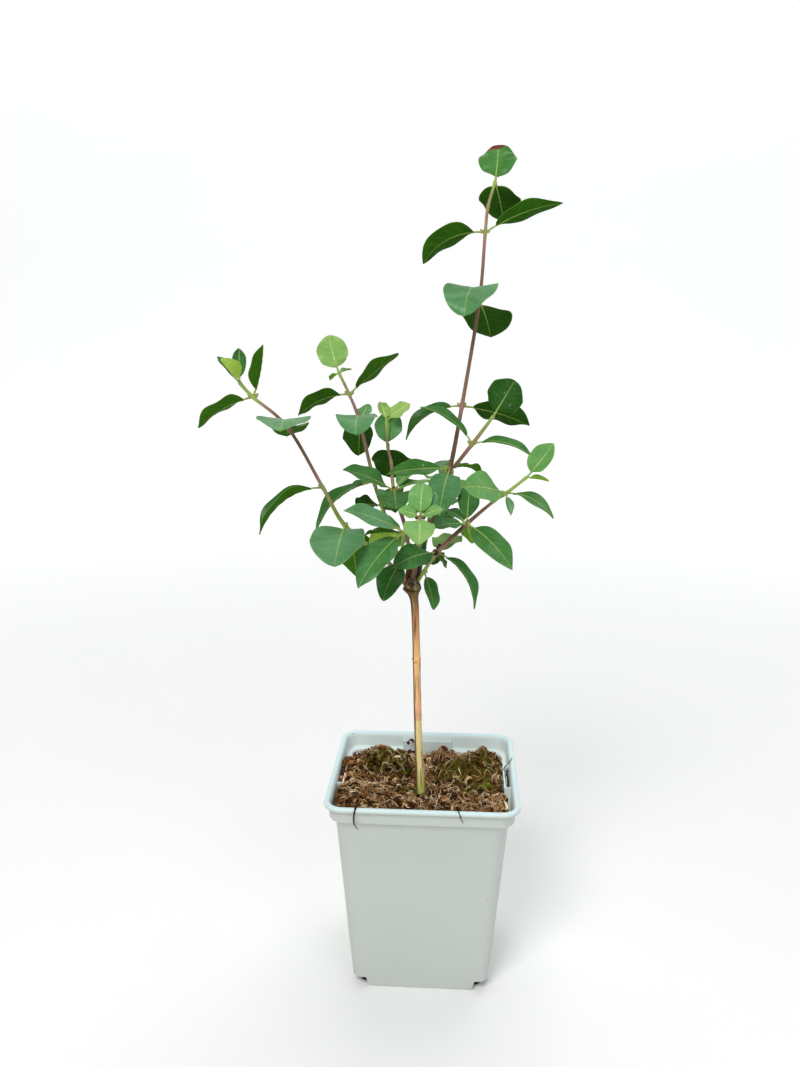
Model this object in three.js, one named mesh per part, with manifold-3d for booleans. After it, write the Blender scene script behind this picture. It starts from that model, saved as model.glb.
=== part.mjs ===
// A young climbing honeysuckle in a square nursery pot. Millimetres, +Z up.
// The origin is the middle of the pot's base on the ground, and the pot's front faces -Y.
import * as THREE from "three";
import { mergeVertices } from "three/addons/utils/BufferGeometryUtils.js";
import Module from "manifold-3d";

const wasm = await Module();
wasm.setup();

// Driving sizes of the pot
const POT_HEIGHT = 99;
const RIM_HALF = 45;
const WALL = 1;
const FLOOR_TOP = 1.2;
const NOTCH_HEIGHT = 5;
const NOTCH_FROM = 25;
const DRAIN_RADIUS = 2.6;
const POCKET_LENGTH = 25;
const LEDGE_SPREAD = 2.1;

// Driving sizes of the plant
const GAP = 0.3;
const BLADE_THICKNESS = 0.6;
const STALK_SHARE = 0.16;
const TRUNK_FOOT = 48;

// Sections of the pot from the ground up, as [height, half width, corner radius]
const POT_OUTSIDE = [
  [0, 32.3, 5],
  [45, 36.1, 6],
  [89.6, 39.9, 6.5],
  [90.2, 41.8, 7],
  [91.2, 42.6, 7.5],
  [96.2, 42.9, 7.8],
  [96.7, 44.5, 8.4],
  [97.8, RIM_HALF, 8.6],
  [98.7, 44.7, 8.4],
  [POT_HEIGHT, 44.1, 8],
];
const POT_INSIDE = [
  [FLOOR_TOP, 31.4, 4.2],
  [45, 35.1, 5],
  [90.6, 39, 5.6],
  [91.2, 41.3, 6.4],
  [96.8, 41.9, 6.8],
  [98.2, 42.4, 7],
  [98.8, 43.1, 7.4],
  [POT_HEIGHT + 1, 43.3, 7.5],
];

// Lumps of the compost's top, as [x, y, reach, rise]
const LUMPS = [
  [-24, 24, 10, 9],
  [-9, 26, 8, 5],
  [24, 18, 15, 7],
  [30, 30, 8, 5],
  [8, 31, 7, 6],
  [-34, 6, 8, 4],
  [-30, -22, 12, 3],
  [12, -16, 10, 3],
  [32, -28, 9, 4],
  [4, 6, 9, -4],
  [-8, 2, 8, -3],
  [-1, -14, 6, -3],
];

// The trunk's line and radius
const TRUNK = [
  [0, -14, TRUNK_FOOT, 1.2],
  [-0.4, -14, 70, 1.8],
  [-1, -14, 87, 2.4],
  [-1.6, -14, 99, 2.1],
  [-2.2, -14, 110, 1.9],
  [-3.4, -14, 140, 1.8],
  [-3.8, -14, 158, 1.8],
  [-3.9, -14, 160, 2.1],
  [-4, -13.9, 163, 1.8],
  [-4.9, -13.2, 184, 1.8],
  [-5.7, -12.6, 190, 2.3],
  [-6.4, -12.1, 192.6, 3.8],
  [-6.7, -12, 195.6, 4.3],
  [-7.1, -12, 198.4, 3.6],
  [-7.4, -12, 200.4, 2],
  [-7.6, -11.6, 208, 1.6],
  [-7.4, -11.2, 211, 1.3],
];

// Each shoot's joints as [x, y, z, radius]. Its leaves are [joint, heading, rise, length,
// width, arch, roll, cup], in degrees and millimetres, where a heading of -90 faces the front.
const SHOOTS = {
  shoot_far_left: {
    line: [
      [-10.5, -13.5, 198, 1],
      [-19, -21, 210, 1],
      [-35, -30, 226, 1],
      [-44, -36, 244, 0.9],
      [-58, -40, 270, 0.8],
      [-72, -43, 283, 0.7],
      [-77, -45, 289, 0.7],
    ],
    leaves: [
      [2, -92, -18, 33, 24, 40, 0, 0.2],
      [2, 78, -60, 31, 19, 40, 0, 0.2],
      [3, -143, -29, 35, 9, 75, -10, 0.8],
      [4, -86, 4, 29, 22, 60, 0, 0.1],
      [4, 100, -14, 26, 18, 30, 0, 0.2],
      [5, -162, -28, 26, 13, 35, -30, 0.3],
      [5, 19, 78, 22, 9, -20, 40, 0.8],
      [6, -112, 38, 16, 9, 0, 0, 0.9],
      [6, 101, 68, 15, 7, 0, 0, 0.7],
      [6, 140, 34, 18, 7, 0, 0, 0.5],
    ],
  },
  shoot_mid_left: {
    line: [
      [-10, -9.6, 198, 0.9],
      [-16, 0, 213, 0.9],
      [-22, 9, 228, 0.9],
      [-26, 12, 239, 0.9],
      [-33, 14, 267, 0.8],
      [-38, 15, 280, 0.7],
      [-43, 16, 290, 0.7],
    ],
    leaves: [
      [2, 160, 0, 14, 11, 20, -40, 0.2],
      [2, -35, -12, 9, 9, 20, 0, 0.2],
      [3, -151, -35, 36, 11, 70, 5, 0.4],
      [3, 150, -26, 24, 9, 30, 20, 0.4],
      [4, -89, -6, 26, 19, 90, 0, 0.1],
      [4, 97, -46, 25, 15, 40, 0, 0.2],
      [4, 76, 32, 14, 8, 0, 0, 0.2],
      [5, -169, -22, 26, 12, 50, -40, 0.2],
      [5, 5, 40, 30, 14, 10, 30, 0.2],
      [6, 165, 74, 18, 15, -10, 75, 0.2],
      [6, 129, -26, 9, 4, 20, 0, 0.4],
      [6, 59, 7, 10, 4, 20, 0, 0.4],
    ],
  },
  shoot_centre: {
    line: [
      [-6.6, -8.3, 198, 0.9],
      [-10, 0, 218, 0.9],
      [-16, 5, 236, 0.9],
      [-18, 14, 248, 0.7],
      [-20, 19, 255, 0.7],
      [-21, 23, 267, 0.6],
    ],
    leaves: [
      [2, -149, 24, 29, 11, 20, 40, 0.3],
      [2, 62, 20, 29, 10, 30, 0, 0.2],
      [2, 38, 6, 22, 11, 30, 0, 0.2],
      [2, -84, -10, 24, 17, 30, 0, 0.2],
      [2, 102, -20, 22, 12, 30, 0, 0.2],
      [4, 85, -48, 24, 20, 20, 0, 0.1],
      [4, 92, 44, 21, 14, 0, 0, 0.2],
      [5, 109, 37, 13, 7, 0, 0, 0.6],
      [5, 6, 35, 14, 9, 20, -40, 0.2],
    ],
  },
  shoot_tall: {
    line: [
      [-3.8, -10.4, 198, 1.1],
      [0, -4, 218, 1.1],
      [6, 2, 234, 1.1],
      [10, 3, 247, 1.1],
      [15, 5, 276, 1],
      [22, 9, 323, 0.9],
      [24, 11, 353, 0.8],
      [25, 12, 364, 0.7],
      [28, 13, 375, 0.7],
    ],
    leaves: [
      [1, -130, -60, 17, 9, 20, 0, 0.3],
      [3, -157, -2, 31, 10, 20, 40, 0.3],
      [3, -100, -35, 30, 16, 40, 0, 0.2],
      [3, 118, -4, 20, 13, 20, 15, 0.2],
      [3, 45, -14, 22, 9, 60, 0, 0.4],
      [4, -173, -31, 30, 9, 70, 20, 0.6],
      [4, 25, -16, 37, 15, 20, 45, 0.2],
      [5, -104, -13, 29, 24, 125, 0, 0.1],
      [5, 74, -36, 28, 24, 30, 0, 0.1],
      [6, -179, -26, 31, 14, 70, -40, 0.2],
      [6, -7, 20, 36, 11, 30, 40, 0.2],
      [8, 72, -45, 21, 19, 20, 0, 0.1],
      [8, 81, 60, 19, 17, -10, 0, 0.2],
    ],
  },
  shoot_back: {
    line: [
      [-6, -8, 195, 0.9],
      [-5, -3, 202, 0.9],
      [-2, 6, 214, 0.9],
      [3, 15, 226, 0.8],
      [8, 23, 236, 0.7],
    ],
    leaves: [
      [2, 40, 26, 24, 14, 40, 0, 0.2],
      [2, 130, -24, 26, 14, 40, 0, 0.2],
      [3, 72, -6, 27, 15, 40, 0, 0.2],
      [3, 172, -6, 17, 9, 20, 30, 0.2],
      [4, 10, -14, 19, 9, 30, -30, 0.2],
      [4, 118, 4, 20, 11, 30, 0, 0.2],
      [4, 95, 52, 14, 8, 10, 0, 0.3],
    ],
  },
  shoot_upper_right: {
    line: [
      [11.8, 1.2, 248.2, 0.9],
      [20, -6, 260, 0.9],
      [29, -10, 273, 0.7],
    ],
    leaves: [
      [1, -175, 35, 29, 7, 50, 30, 0.4],
      [1, -15, -9, 28, 7, 55, -20, 0.4],
      [2, 34, 54, 19, 17, 0, -65, 0.1],
    ],
  },
  shoot_right: {
    line: [
      [-3.6, -14, 198, 1.1],
      [-0.8, -17, 203, 1.1],
      [5, -22, 213, 1.4],
      [18, -25, 227, 1],
      [30, -22, 237, 0.9],
      [35, -20, 240, 0.8],
      [44, -18, 247, 0.7],
    ],
    leaves: [
      [1, -52, -64, 18, 9, 20, 10, 0.3],
      [2, -23, -52, 30, 8, 80, -5, 0.5],
      [2, -133, -5, 27, 13, 30, 35, 0.2],
      [2, 98, -34, 15, 9, 30, 0, 0.2],
      [2, -20, -55, 8, 5, 20, 0, 0.2],
      [2, 66, 13, 20, 14, 10, 0, 0.2],
      [3, -55, -22, 36, 13, 30, -20, 0.2],
      [3, -144, 1, 18, 9, 20, 20, 0.2],
      [3, 86, 44, 23, 10, 0, 0, 0.2],
      [3, 136, 20, 14, 8, 20, 0, 0.2],
      [3, 74, -49, 14, 9, 20, 0, 0.2],
      [5, -138, 12, 26, 15, 20, 55, 0.2],
      [5, -70, -53, 11, 4, 20, 0, 0.5],
      [5, -44, -15, 28, 8, 55, -10, 0.2],
      [6, 5, 53, 19, 11, -10, -60, 0.5],
      [6, -6, -8, 10, 4, 20, 0, 0.7],
    ],
  },
  shoot_front: {
    line: [
      [-6.4, -16, 198, 0.9],
      [-4, -18, 211, 0.8],
      [-3, -27, 223, 0.7],
      [-2, -42, 233, 0.7],
    ],
    leaves: [
      [3, 80, 66, 15, 11, 20, 0, 0.3],
      [3, -88, -27, 18, 13, 30, 0, 0.2],
      [3, -15, 22, 11, 6, 20, -50, 0.3],
      [3, -165, 20, 10, 6, 20, 50, 0.3],
      [3, 38, 50, 13, 9, 20, -30, 0.2],
    ],
  },
  shoot_front_left: {
    line: [
      [-9.2, -15.6, 198, 0.8],
      [-11, -20, 208, 0.8],
      [-10, -25, 219, 0.7],
      [-9, -36, 225, 0.7],
    ],
    leaves: [
      [3, -127, -33, 35, 14, 35, 20, 0.2],
      [3, -146, 23, 32, 12, 20, 40, 0.2],
      [3, 177, 30, 15, 6, 20, 30, 0.2],
      [3, 165, -25, 17, 12, 20, -60, 0.2],
      [3, 178, -4, 17, 10, 20, -15, 0.2],
      [1, -112, -36, 23, 12, 40, 20, 0.3],
    ],
  },
};

// A closed skin as a solid that can be joined and cut, with its shared points merged
function solidOf(geometry) {
  const bare = new THREE.BufferGeometry();
  bare.setAttribute("position", geometry.getAttribute("position").clone());
  if (geometry.index) bare.setIndex(geometry.index.clone());
  const merged = mergeVertices(bare, 1e-3);
  const kept = [];
  const index = merged.index.array;
  for (let i = 0; i < index.length; i += 3) {
    const [a, b, c] = [index[i], index[i + 1], index[i + 2]];
    if (a !== b && b !== c && c !== a) kept.push(a, b, c);
  }
  return new wasm.Manifold(
    new wasm.Mesh({
      numProp: 3,
      vertProperties: new Float32Array(merged.attributes.position.array),
      triVerts: new Uint32Array(kept),
    }),
  );
}

// The faceted skin of a solid, with flat faces
function geometryOf(solid) {
  const mesh = solid.getMesh();
  const geometry = new THREE.BufferGeometry();
  geometry.setAttribute("position", new THREE.BufferAttribute(mesh.vertProperties, 3));
  geometry.setIndex(new THREE.BufferAttribute(mesh.triVerts, 1));
  const flat = geometry.toNonIndexed();
  flat.computeVertexNormals();
  return flat;
}

// A closed skin over rings of points that run anticlockwise seen from the last ring
function skin(rings, stripCaps = false) {
  const points = rings.flat();
  const n = rings[0].length;
  const index = [];
  for (let j = 0; j + 1 < rings.length; j++)
    for (let i = 0; i < n; i++) {
      const a = j * n + i;
      const b = j * n + ((i + 1) % n);
      index.push(a, b, b + n, a, b + n, a + n);
    }
  const last = (rings.length - 1) * n;
  if (stripCaps)
    for (let i = 0; i < n / 2 - 1; i++) {
      const [a, b, c, d] = [i, i + 1, n - 2 - i, n - 1 - i];
      index.push(a, c, b, a, d, c);
      index.push(last + a, last + b, last + c, last + a, last + c, last + d);
    }
  else {
    const centres = [rings[0], rings[rings.length - 1]].map((ring) =>
      ring.reduce((sum, p) => sum.add(p), new THREE.Vector3()).divideScalar(n),
    );
    points.push(...centres);
    for (let i = 0; i < n; i++) {
      index.push(i, points.length - 2, (i + 1) % n);
      index.push(last + i, last + ((i + 1) % n), points.length - 1);
    }
  }
  const geometry = new THREE.BufferGeometry().setFromPoints(points);
  geometry.setIndex(index);
  return solidOf(geometry);
}

// A box between two corners
function block(low, high) {
  const [from, to] = [new THREE.Vector3(...low), new THREE.Vector3(...high)];
  const size = to.clone().sub(from);
  const box = new THREE.BoxGeometry(size.x, size.y, size.z);
  const middle = from.add(to).multiplyScalar(0.5);
  return solidOf(box.translate(middle.x, middle.y, middle.z));
}

// A square with rounded corners at one height
function roundedSquare(z, half, radius, perCorner = 5) {
  const points = [];
  for (let corner = 0; corner < 4; corner++) {
    const middle = Math.PI / 4 + (corner * Math.PI) / 2;
    const reach = (half - radius) * Math.SQRT2;
    for (let i = 0; i < perCorner; i++) {
      const angle = middle + (i / (perCorner - 1) - 0.5) * (Math.PI / 2);
      const x = reach * Math.cos(middle) + radius * Math.cos(angle);
      const y = reach * Math.sin(middle) + radius * Math.sin(angle);
      points.push(new THREE.Vector3(x, y, z));
    }
  }
  return points;
}

// The four corner blocks that are left out of the pot's base, grown outwards by a margin
function cornerBlocks(margin) {
  const far = 50;
  const blocks = [];
  for (const [sx, sy] of [
    [1, 1],
    [-1, 1],
    [-1, -1],
    [1, -1],
  ]) {
    const rings = [
      [-2, NOTCH_FROM - 2],
      [0.9, NOTCH_FROM],
      [NOTCH_HEIGHT + margin, NOTCH_FROM + 1],
    ].map(([z, from]) => {
      const near = from - margin;
      const ring = [
        [near, near],
        [far, near],
        [far, far],
        [near, far],
      ].map(([x, y]) => new THREE.Vector3(x * sx, y * sy, z));
      return sx * sy > 0 ? ring : ring.reverse();
    });
    blocks.push(skin(rings));
  }
  return wasm.Manifold.union(blocks);
}

// Pot: a thin square shell with a banded rim, notched base corners and four label pockets
function makePot() {
  const outside = skin(POT_OUTSIDE.map((row) => roundedSquare(...row)));
  const inside = skin(POT_INSIDE.map((row) => roundedSquare(...row)));
  const room = inside.subtract(cornerBlocks(WALL));
  let pot = outside.subtract(cornerBlocks(0)).subtract(room);
  for (let side = 0; side < 4; side++) {
    const half = POCKET_LENGTH / 2;
    const plate = block([-half, 38.7, 90], [half, 39.6, 96]);
    const ends = [-half, half - 0.9].map((x) => block([x, 38.7, 90], [x + 0.9, 42.2, 96]));
    const pocket = wasm.Manifold.union([plate, ...ends]);
    pot = pot.add(pocket.rotate([0, 0, 90 * side]));
  }
  for (const [sx, sy] of [
    [1, 1],
    [-1, 1],
    [-1, -1],
    [1, -1],
  ]) {
    const drain = new THREE.CylinderGeometry(DRAIN_RADIUS, DRAIN_RADIUS, 8, 10);
    drain.rotateX(Math.PI / 2).translate(29 * sx, 29 * sy, 6);
    pot = pot.subtract(solidOf(drain));
  }
  return pot;
}

// Height of the compost's top, with its lumps and a fine roughness
function compostTop(x, y) {
  let z = 91 - 0.12 * y - 0.02 * x;
  for (const [cx, cy, reach, rise] of LUMPS)
    z += rise * Math.exp(-((x - cx) ** 2 + (y - cy) ** 2) / (reach * reach));
  z += 0.7 * Math.sin(0.9 * x + 1.3 * Math.sin(0.5 * y));
  z += 0.7 * Math.sin(1.1 * y + 1.7 * Math.sin(0.6 * x));
  return Math.min(z, POT_HEIGHT - 1.5);
}

// Compost: the root ball that fills the pot, shrunk from the wall at the back and the right
function makeCompost() {
  const around = 44;
  const bend = 7;
  // One point of the side: a direction, a height and how far the edge spreads over the ledge
  const edge = (i, z, spread = 0) => {
    const angle = (i / around) * 2 * Math.PI;
    const c = Math.cos(angle);
    const s = Math.sin(angle);
    const half = 31 + 7.6 * (Math.min(z, 90) / 90) + spread;
    const squircle = half / (Math.abs(c) ** bend + Math.abs(s) ** bend) ** (1 / bend);
    const dry = Math.max(0, (Math.min(z, 90) - 70) / 20) * (1.6 + 1.2 * Math.sin(angle - 0.3));
    const reach = squircle - Math.max(0, dry);
    return new THREE.Vector3(reach * c, reach * s, z);
  };
  const ring = (shape) => Array.from({ length: around }, (_, i) => shape(i));
  const brim = ring((i) => {
    const top = compostTop(edge(i, 90).x, edge(i, 90).y);
    return { top, over: THREE.MathUtils.clamp((top - 92.6) / 0.8, 0, 1) };
  });
  const rings = [1.5, 40, 80].map((z) => ring((i) => edge(i, z)));
  rings.push(ring((i) => edge(i, Math.min(90.2, brim[i].top - 2.4))));
  rings.push(
    ring((i) => {
      const low = Math.min(90.2, brim[i].top - 2.4) + 0.4;
      const point = edge(i, 90, LEDGE_SPREAD * brim[i].over);
      point.z = THREE.MathUtils.lerp(low, 91.8, brim[i].over);
      return point;
    }),
  );
  for (const share of [1, 0.95, 0.85, 0.72, 0.58, 0.44, 0.3, 0.15])
    rings.push(
      ring((i) => {
        const point = edge(i, 90, LEDGE_SPREAD * brim[i].over);
        point.set(point.x * share, point.y * share, 0);
        point.z = compostTop(point.x, point.y) - (share === 1 ? 0.8 : 0);
        return point;
      }),
    );
  let compost = skin(rings).subtract(cornerBlocks(WALL + GAP));
  const half = POCKET_LENGTH / 2 + GAP;
  for (let side = 0; side < 4; side++) {
    const room = block([-half, 38.7 - GAP, 89], [half, 44, 99]);
    compost = compost.subtract(room.rotate([0, 0, 90 * side]));
  }
  return compost.subtract(makeTrunk(GAP + 0.1));
}

// A tapered round stem through joints [x, y, z, radius], with a slight swelling at each joint
function makeStem(joints, { sides = 6, steps = 2, swell = 1.3, grow = 0 } = {}) {
  const curve = new THREE.CatmullRomCurve3(joints.map(([x, y, z]) => new THREE.Vector3(x, y, z)));
  const count = (joints.length - 1) * steps;
  const up = new THREE.Vector3(0, 1, 0);
  const rings = [];
  for (let j = 0; j <= count; j++) {
    const t = j / count;
    const place = j / steps;
    const low = Math.min(Math.floor(place), joints.length - 2);
    const between = place - low;
    const radius = THREE.MathUtils.lerp(joints[low][3], joints[low + 1][3], between);
    const full = radius * (j % steps === 0 && j > 0 ? swell : 1) + grow;
    const centre = curve.getPoint(t);
    const along = curve.getTangent(t);
    if (j === 0) centre.addScaledVector(along, -grow);
    if (j === count) centre.addScaledVector(along, grow);
    const across = new THREE.Vector3().crossVectors(up, along).normalize();
    const other = new THREE.Vector3().crossVectors(along, across);
    const ring = [];
    for (let i = 0; i < sides; i++) {
      const angle = (i / sides) * 2 * Math.PI;
      const point = centre.clone().addScaledVector(across, full * Math.cos(angle));
      ring.push(point.addScaledVector(other, full * Math.sin(angle)));
    }
    rings.push(ring);
  }
  return skin(rings);
}

// Trunk: the woody main stem, with a swollen crown and the stub of a cut-back stem
function makeTrunk(grow = 0) {
  return makeStem(TRUNK, { sides: 8, steps: 1, swell: 1, grow });
}

// A leaf on its stalk: an arched, cupped blade with a smooth edge and a pointed tip
function makeLeaf(root, [, heading, rise, length, width, arch, roll, cup]) {
  const rad = Math.PI / 180;
  const flat = new THREE.Vector3(Math.cos(heading * rad), Math.sin(heading * rad), 0);
  const upward = new THREE.Vector3(0, 0, 1);
  const bend = (arch / 2) * rad;
  const run = (length * bend) / Math.sin(bend || 1) || length;
  const stations = [0, STALK_SHARE, 0.28, 0.46, 0.66, 0.86, 1];
  const half = [0, 0, 0.66, 0.98, 1, 0.62, 0];
  const centre = root.clone();
  const rings = [];
  let before = 0;
  const fine = 4;
  for (let j = 0; j < stations.length; j++) {
    const t = stations[j];
    for (let k = 1; k <= fine && j > 0; k++) {
      const mid = before + ((k - 0.5) / fine) * (t - before);
      const angle = rise * rad + bend * (1 - 2 * mid);
      centre.addScaledVector(flat, ((run * (t - before)) / fine) * Math.cos(angle));
      centre.addScaledVector(upward, ((run * (t - before)) / fine) * Math.sin(angle));
    }
    before = t;
    const angle = rise * rad + bend * (1 - 2 * t);
    const along = flat.clone().multiplyScalar(Math.cos(angle));
    along.addScaledVector(upward, Math.sin(angle));
    const side = new THREE.Vector3(Math.sin(heading * rad), -Math.cos(heading * rad), 0);
    const turn = -roll * rad * Math.min(1, t / 0.3);
    side.applyAxisAngle(along, turn);
    const normal = new THREE.Vector3().crossVectors(side, along);
    const stalk = j < 2;
    const reach = stalk ? 0.6 : (width / 2) * half[j];
    const top = [];
    const under = [];
    for (const s of [-1, -0.5, 0, 0.5, 1]) {
      const lift = stalk ? 0 : cup * reach * Math.abs(s) ** 1.4;
      const spread = stalk ? s : s * Math.sqrt(1 - Math.min(0.7, cup * cup * 0.5));
      const point = centre.clone().addScaledVector(side, spread * reach);
      point.addScaledVector(normal, lift);
      const thick = stalk ? 0.55 : BLADE_THICKNESS / 2;
      top.push(point.clone().addScaledVector(normal, thick));
      under.unshift(point.clone().addScaledVector(normal, -thick));
    }
    rings.push([...top, ...under]);
  }
  return skin(rings, true);
}

// A leafy shoot: its stem and leaves as one body, cut clear of the trunk's crown
function makeShoot({ line, leaves }) {
  const stem = makeStem(line);
  const blades = leaves.map((row) => {
    const [x, y, z] = line[row[0]];
    return makeLeaf(new THREE.Vector3(x, y, z), row);
  });
  return wasm.Manifold.union([stem, ...blades]).subtract(makeTrunk(GAP));
}

const plant = new THREE.Group();
function place(name, solid, colour, roughness) {
  const material = new THREE.MeshStandardMaterial({ color: colour, roughness, metalness: 0 });
  const mesh = new THREE.Mesh(geometryOf(solid), material);
  mesh.name = name;
  plant.add(mesh);
}

place("pot", makePot(), 0xc6cdc8, 0.45);
place("compost", makeCompost(), 0x5a4433, 0.95);
place("trunk", makeTrunk(), 0xb09a6c, 0.8);
for (const [name, shoot] of Object.entries(SHOOTS))
  place(name, makeShoot(shoot), 0x3f6b3a, 0.5);

export default plant;
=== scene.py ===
"""A young climbing honeysuckle in its square nursery pot. Metres, +Z up, the pot's front facing -Y."""

import math
import random

import bmesh
import bpy
from mathutils import Matrix, Vector, noise


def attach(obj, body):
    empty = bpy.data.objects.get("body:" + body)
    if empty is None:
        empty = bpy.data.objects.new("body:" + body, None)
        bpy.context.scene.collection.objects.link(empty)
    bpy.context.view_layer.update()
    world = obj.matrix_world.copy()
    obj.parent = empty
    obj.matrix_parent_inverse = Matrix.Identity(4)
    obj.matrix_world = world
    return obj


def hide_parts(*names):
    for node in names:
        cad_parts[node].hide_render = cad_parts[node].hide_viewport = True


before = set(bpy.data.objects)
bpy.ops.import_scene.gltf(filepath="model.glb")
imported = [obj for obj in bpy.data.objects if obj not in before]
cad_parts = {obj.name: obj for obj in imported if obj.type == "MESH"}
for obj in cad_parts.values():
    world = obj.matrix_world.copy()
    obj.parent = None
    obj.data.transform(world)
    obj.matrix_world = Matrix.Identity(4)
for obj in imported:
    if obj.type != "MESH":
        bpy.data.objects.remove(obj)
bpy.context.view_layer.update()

# Nursery pot
# A thin injection-moulded shell in pale grey-green plastic, tapered so that pots stack, with a banded
# rim and a rolled lip. Its base corners are cut short and drilled, and it stands on the middle.
MM = 0.001
POT_TOP = 99
WALL = 1
FLOOR_TOP = 1.2
NOTCH_HEIGHT = 5
NOTCH_FROM = 25
DRAIN_RADIUS = 2.6
DRAIN_PLACE = 29
POCKET_LENGTH = 25
CORNERS = [(1, 1), (-1, 1), (-1, -1), (1, -1)]
# Sections from the ground up, as (height, half width, corner radius) in millimetres
POT_OUTSIDE = [
    (0, 31.8, 4.8),
    (0.5, 32.3, 5),
    (45, 36.1, 6),
    (88.6, 39.8, 6.5),
    (89.5, 40.3, 6.6),
    (90, 41.4, 7),
    (90.5, 42.2, 7.3),
    (91.4, 42.6, 7.5),
    (95.9, 42.9, 7.8),
    (96.4, 43.3, 8),
    (96.6, 44.4, 8.4),
    (97, 44.9, 8.6),
    (97.8, 45, 8.6),
    (98.5, 44.8, 8.5),
    (98.9, 44.4, 8.2),
    (99, 44, 8),
]
POT_INSIDE = [
    (FLOOR_TOP, 31.4, 4.2),
    (45, 35.1, 5),
    (90.2, 38.9, 5.5),
    (90.8, 39.4, 5.7),
    (91.1, 40.9, 6.2),
    (91.7, 41.4, 6.4),
    (96.8, 41.9, 6.8),
    (98.1, 42.3, 7),
    (98.7, 42.8, 7.2),
    (99, 43.4, 7.5),
    (100, 43.9, 7.8),
]


def colour(red, green, blue):
    """A colour as the eye sees it, from 0 to 255, as linear light."""
    shares = (red / 255, green / 255, blue / 255)
    return tuple(c / 12.92 if c < 0.04 else ((c + 0.055) / 1.055) ** 2.4 for c in shares) + (1.0,)


class Wire:
    """A shader socket that takes part in sums."""

    def __init__(self, finish, socket):
        self.finish = finish
        self.socket = socket

    def maths(self, operation, *others):
        return self.finish.node("ShaderNodeMath", {"operation": operation}, dict(enumerate((self, *others))))

    def __add__(self, other):
        return self.maths("ADD", other)

    def __mul__(self, other):
        return self.maths("MULTIPLY", other)

    def __sub__(self, other):
        return self.maths("SUBTRACT", other)

    def __rsub__(self, other):
        return self * -1 + other

    def __truediv__(self, other):
        return self.maths("DIVIDE", other)

    def __pow__(self, other):
        return self.maths("POWER", other)

    def __abs__(self):
        return self.maths("ABSOLUTE")

    __radd__ = __add__
    __rmul__ = __mul__

    def fade(self, low, high):
        """0 below low, 1 above high, and a smooth step between."""
        settings = {"interpolation_type": "SMOOTHSTEP"}
        values = {"Value": self, "From Min": low, "From Max": high}
        return self.finish.node("ShaderNodeMapRange", settings, values)


class Finish:
    """One material, with its principled shader and the nodes that feed it."""

    def __init__(self, name, constants=None):
        self.material = bpy.data.materials.new(name)
        self.material.use_nodes = True
        self.tree = self.material.node_tree
        self.shader = self.tree.nodes["Principled BSDF"]
        self.feed(self.shader, constants or {})

    def feed(self, node, values):
        for key, value in values.items():
            if isinstance(value, Wire):
                self.tree.links.new(value.socket, node.inputs[key])
            else:
                node.inputs[key].default_value = value

    def node(self, kind, settings=None, values=None, out=0):
        made = self.tree.nodes.new(kind)
        for key, value in (settings or {}).items():
            if key == "stops":
                ramp = made.color_ramp.elements
                while len(ramp) < len(value):
                    ramp.new(0.5)
                for stop, (position, tint) in zip(ramp, value):
                    stop.position = position
                    stop.color = tint
            else:
                setattr(made, key, value)
        self.feed(made, values or {})
        return Wire(self, made.outputs[out])

    def place(self):
        return self.node("ShaderNodeTexCoord", out="Object")

    def attribute(self, name, out="Fac"):
        return self.node("ShaderNodeAttribute", {"attribute_name": name}, out=out)

    def noise(self, scale, detail=3, where=None, roughness=0.55):
        values = {"Vector": where or self.place(), "Scale": scale, "Detail": detail, "Roughness": roughness}
        return self.node("ShaderNodeTexNoise", values=values)

    def ramp(self, amount, *stops):
        return self.node("ShaderNodeValToRGB", {"stops": stops}, {"Fac": amount})

    def mix(self, amount, first, second):
        return self.node("ShaderNodeMix", {"data_type": "RGBA"}, {0: amount, 6: first, 7: second}, out=2)

    def stretched(self, x, y, z):
        values = {0: self.place(), 1: (x, y, z)}
        return self.node("ShaderNodeVectorMath", {"operation": "MULTIPLY"}, values)

    def bump(self, height, strength, distance=0.0005):
        values = {"Height": height, "Strength": strength, "Distance": distance}
        return self.node("ShaderNodeBump", values=values)

    def paint(self, wires):
        """Links the finished wires to the shader."""
        self.feed(self.shader, wires)


def make_piece(name, points, faces, *materials):
    """A mesh object from points in millimetres."""
    mesh = bpy.data.meshes.new(name)
    mesh.from_pydata([tuple(c * MM for c in p) for p in points], [], faces)
    mesh.update()
    for material in materials:
        mesh.materials.append(material)
    mesh.polygons.foreach_set("use_smooth", [True] * len(mesh.polygons))
    piece = bpy.data.objects.new(name, mesh)
    bpy.context.scene.collection.objects.link(piece)
    return piece


def stand_for(piece, node):
    """The piece joins the frame's root and, when a node is given, takes that solid's place, which is hidden.
    """
    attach(piece, "root")
    if node:
        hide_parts(node)


def loft(rings, capped=True):
    """Points and faces of a skin over closed rings of the same number of points."""
    count = len(rings[0])
    points = [tuple(p) for ring in rings for p in ring]
    faces = []
    for j in range(len(rings) - 1):
        for i in range(count):
            k = (i + 1) % count
            faces.append((j * count + i, j * count + k, (j + 1) * count + k, (j + 1) * count + i))
    if capped:
        faces.append(tuple(reversed(range(count))))
        faces.append(tuple(range((len(rings) - 1) * count, len(rings) * count)))
    return points, faces


def rounded_square(z, half, radius, per_corner=12):
    points = []
    for corner in range(4):
        middle = math.pi / 4 + corner * math.pi / 2
        reach = (half - radius) * math.sqrt(2)
        for i in range(per_corner):
            angle = middle + (i / (per_corner - 1) - 0.5) * math.pi / 2
            x = reach * math.cos(middle) + radius * math.cos(angle)
            y = reach * math.sin(middle) + radius * math.sin(angle)
            points.append((x, y, z))
    return points


def box_between(low, high):
    (x0, y0, z0), (x1, y1, z1) = low, high
    rings = [[(x0, y0, z), (x1, y0, z), (x1, y1, z), (x0, y1, z)] for z in (z0, z1)]
    return loft(rings)


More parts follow.
